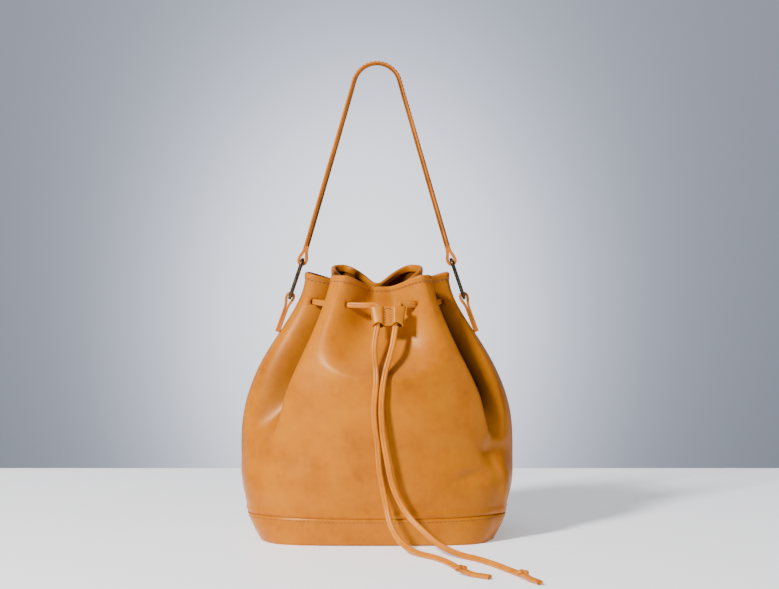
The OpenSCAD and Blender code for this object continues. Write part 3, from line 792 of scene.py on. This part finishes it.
def sideTab(side, sign):
    # one strip: up the outside, round the ring's lower bar and down against the body
    low = ringBars[side][0]
    foot = np.array([tab["footX"], 0, tab["footZ"]])
    top = np.array([abs(low[0]), 0, low[2]])
    way = (top - foot) / np.linalg.norm(top - foot)
    out = np.array([way[2], 0, -way[0]])
    r = tab["loop"]
    arc = np.radians(np.linspace(-8, 188, 15))
    loop = [top + r * (math.cos(a) * out + math.sin(a) * way) for a in arc]
    leg, neck = tab["leg"], tab["neck"]
    outerLeg = [foot + out * leg, foot + way * 12 + out * leg,
                foot + way * 24 + out * (leg + 0.05), top - way * 7 + out * neck]
    innerLeg = [top - way * 7 - out * neck, foot + way * 24 - out * (leg + 0.05),
                foot + way * 12 - out * leg, foot - out * leg]
    path = smoothPath(outerLeg + loop + innerLeg, 110)
    path[:, 0] *= sign
    stands = ["side_tab_" + side, "tab_loop_" + side]
    piece = ribbonBand("sideTab" + side.title(), path, tab["width"], tab["thick"], strapLeather, None,
                       stands)
    start, end = foot + way * tab["bendFrom"], foot + way * tab["bendTo"]
    start[0] *= sign
    end[0] *= sign
    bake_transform(piece)
    return foot * [sign, 1, 1], way * [sign, 1, 1], out * [sign, 1, 1]


def tabStitches(side, foot, way, out):
    # a box of stitches on the sewn part
    w = tab["width"] / 2 - 2
    high, low = tab["seamHigh"], tab["seamLow"]
    corners = np.array([[w, high], [w, low], [-w, low], [-w, high], [w, high]])
    run = np.concatenate([[0], np.cumsum(np.linalg.norm(np.diff(corners, axis=0), axis=1))])
    u = np.linspace(0, run[-1], 240)
    y, z = np.interp(u, run, corners[:, 0]), np.interp(u, run, corners[:, 1])
    line = foot + way * z[:, None] + np.array([0, 1, 0]) * y[:, None] + out * (1.0 + tab["thick"] / 2)
    return stitchRow("tabStitch" + side.title(), line, np.broadcast_to(out, line.shape), "bag", 2.6, 1.0, 0.55,
                     0.1)


for side, sign in (("left", -1), ("right", 1)):
    foot, way, out = sideTab(side, sign)
    tabStitches(side, foot, way, out)
print("rings and tabs")

handle = {
    "width": 18, "thick": 4.4, "top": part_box("strap_outer")[1][2] / mm, "radius": 24,
    "layer": 2.06, "offset": 1.05, "corner": 0.55, "legFrom": 13.5, "twistDeg": 5,
    "loop": 4.0, "loopThick": 3.0,
}


def handleRoute():
    # straight legs from the upper bars, tangent to the round bend at the top
    bar = ringBars["right"][1]
    x, z = abs(bar[0]), bar[2]
    bendZ = handle["top"] - handle["thick"] / 2 - handle["radius"]
    reach = math.hypot(x, bendZ - z)
    lean = math.atan2(x, bendZ - z) - math.asin(handle["radius"] / reach)
    return x, z, bendZ, lean


barX, barZ, bendZ, lean = handleRoute()
legWay = np.array([-math.sin(lean), 0, math.cos(lean)])


def handlePath(offset, startRun, count):
    # the middle line of one layer, left leg to right leg
    r = handle["radius"] + offset
    out = np.array([math.cos(lean), 0, math.sin(lean)])
    foot = np.array([barX, 0, barZ]) + legWay * startRun + out * offset
    tangent = np.array([0, 0, bendZ]) + r * out
    legs = [foot + (tangent - foot) * u for u in np.linspace(0, 0.96, 8)]
    bend = [np.array([r * math.cos(a), 0, bendZ + r * math.sin(a)]) for a in np.linspace(lean, math.pi / 2, 8)]
    right = np.array(legs + bend)
    left = right[::-1][1:] * [-1, 1, 1]
    return smoothPath(np.concatenate([right, left])[::-1], count)


def handleLayer(name, offset, material, stands):
    # one layer of the strap, turned a little one way on the left leg and the other way on the right
    path = handlePath(offset, handle["legFrom"], 220)
    twist = np.radians(handle["twistDeg"]) * np.cos(np.linspace(0, math.pi, len(path)))
    return ribbonBand(name, path, handle["width"], handle["layer"], material, "handle", stands,
                      handle["corner"], twist)


handleLayer("handleOuter", handle["offset"], strapLeather, ["strap_outer"])
handleLayer("handleLining", -handle["offset"], fleshLeather, ["strap_lining"])


def handleLoop(side, sign):
    # the end of the strap folded round the ring's upper bar
    bar = np.array([barX, 0, barZ])
    out = np.array([math.cos(lean), 0, math.sin(lean)])
    r = handle["loop"]
    arc = np.radians(np.linspace(8, -188, 15))
    loop = [bar + r * (math.cos(a) * out + math.sin(a) * legWay) for a in arc]
    up = [bar + legWay * 16 + out * 1.3, bar + legWay * 10.5 + out * 1.35, bar + legWay * 7 + out * 2.1]
    down = [bar + legWay * 7 - out * 2.1, bar + legWay * 10.5 - out * 1.35, bar + legWay * 16 - out * 1.3]
    path = smoothPath(up + loop + down, 90)
    path[:, 0] *= sign
    return ribbonBand("handleLoop" + side.title(), path, handle["width"], handle["loopThick"], strapLeather, "handle",
                      ["strap_loop_" + side])


for side, sign in (("left", -1), ("right", 1)):
    handleLoop(side, sign)


def handleStitches(name, y):
    # a row along the outer face, y mm from its middle
    path = handlePath(handle["thick"] / 2, 16, 900)
    way = unitRows(np.gradient(path, axis=0))
    up = np.cross(way, [0, 1, 0])
    up = up * np.sign(up[:, 2:3] + 1e-6)
    out = np.where((path[:, 0:1] * up[:, 0:1]) < 0, -up, up)
    return stitchRow(name, path + [0, y, 0], out, "handle", 3.0, 1.2, 0.6, 0.1)


handleStitches("handleStitchFront", -handle["width"] / 2 + 2)
handleStitches("handleStitchBack", handle["width"] / 2 - 2)
print("handle")


# CAD pieces that keep their own shape

paint("base_sole", bodyLeather)
paint("base_board", board)
paint("tab_patch_left", fleshLeather)
paint("tab_patch_right", fleshLeather)


# floor, backdrop and lights

def stageSurface(name, points, faces, colour, roughness, glow=0.0):
    mesh = bpy.data.meshes.new(name)
    mesh.from_pydata(points, [], faces)
    item = bpy.data.objects.new(name, mesh)
    bpy.context.collection.objects.link(item)
    # a flat surface with a slight glow of its own where one is given
    material = newMaterial(name, [("Base Color", linear(colour)), ("Roughness", roughness),
                                  ("Emission Color", linear(colour)), ("Emission Strength", glow)])[0]
    mesh.materials.append(material)
    return item


# the table glows a little of its own: painted light that brightens it
stageSurface("paleTable", [(-6, -4, 0), (6, -4, 0), (6, 0.5, 0), (-6, 0.5, 0), (6, 0.5, -0.04), (-6, 0.5, -0.04)],
             [(0, 1, 2, 3), (3, 2, 4, 5)], "#fafafc", 0.4, 0.35)


def backdrop():
    # painted wall, lit by its own glow alone: lighter behind the bag, fading into blue grey, stronger upwards
    item = stageSurface("greyWall", [(-9, 6, -5), (9, 6, -5), (9, 6, 7), (-9, 6, 7)], [(0, 1, 2, 3)],
                        "#000000", 1.0)
    tree = item.data.materials[0].node_tree
    shader = tree.nodes["Principled BSDF"]
    place = addNode(tree, "ShaderNodeTexCoord").outputs["Object"]
    middle = addNode(tree, "ShaderNodeMapping", [("vector_type", "TEXTURE"), ("Location", (-0.064, 6, -0.36)),
                                                 ("Scale", (1.45, 1.45, 2.03))], [("Vector", place)])
    away = addNode(tree, "ShaderNodeVectorMath", [("operation", "LENGTH")], [("Vector", middle.outputs["Vector"])])
    ramp = addNode(tree, "ShaderNodeValToRGB", [], [("Fac", away.outputs["Value"])])
    stops = ramp.color_ramp.elements
    ramp.color_ramp.interpolation = "B_SPLINE"
    stops[0].position, stops[0].color = 0.12, linear("#f8f8fd")
    stops[1].position, stops[1].color = 1.0, linear("#676b75")
    for far, colour in ((0.3, "#d6dae8"), (0.44, "#a6abba"), (0.6, "#7f8491"), (0.8, "#6e737e")):
        stops.new(far).color = linear(colour)
    height = addNode(tree, "ShaderNodeSeparateXYZ", [], [("Vector", place)])
    glow = addNode(tree, "ShaderNodeMath", [("operation", "MULTIPLY_ADD"), (1, 0.386), (2, 2.08)],
                   [(0, height.outputs["Z"])])
    tree.links.new(ramp.outputs["Color"], shader.inputs["Emission Color"])
    tree.links.new(glow.outputs[0], shader.inputs["Emission Strength"])


backdrop()


def areaLight(name, place, target, size, power, colour="#ffffff"):
    data = bpy.data.lights.new(name, "AREA")
    data.shape = "RECTANGLE"
    data.size, data.size_y = size
    data.energy = power
    data.color = linear(colour)[:3]
    item = bpy.data.objects.new(name, data)
    item.location = place
    item.rotation_euler = (Vector(target) - Vector(place)).to_track_quat("-Z", "Y").to_euler()
    bpy.context.collection.objects.link(item)


areaLight("keyLeft", (-1.85, -2.1, 2.1), (0, 0, 0.2), (0.45, 0.45), 270)
areaLight("fillRight", (2.6, -0.9, 1.0), (0, 0, 0.2), (0.9, 1.6), 9)
areaLight("topSoft", (-0.4, -0.6, 2.6), (0, 0, 0), (1.6, 1.2), 20)
world = bpy.data.worlds.new("studio")
world.use_nodes = True
world.node_tree.nodes["Background"].inputs["Color"].default_value = linear("#dfe4ee")
world.node_tree.nodes["Background"].inputs["Strength"].default_value = 0.10
bpy.context.scene.world = world
print("stage")
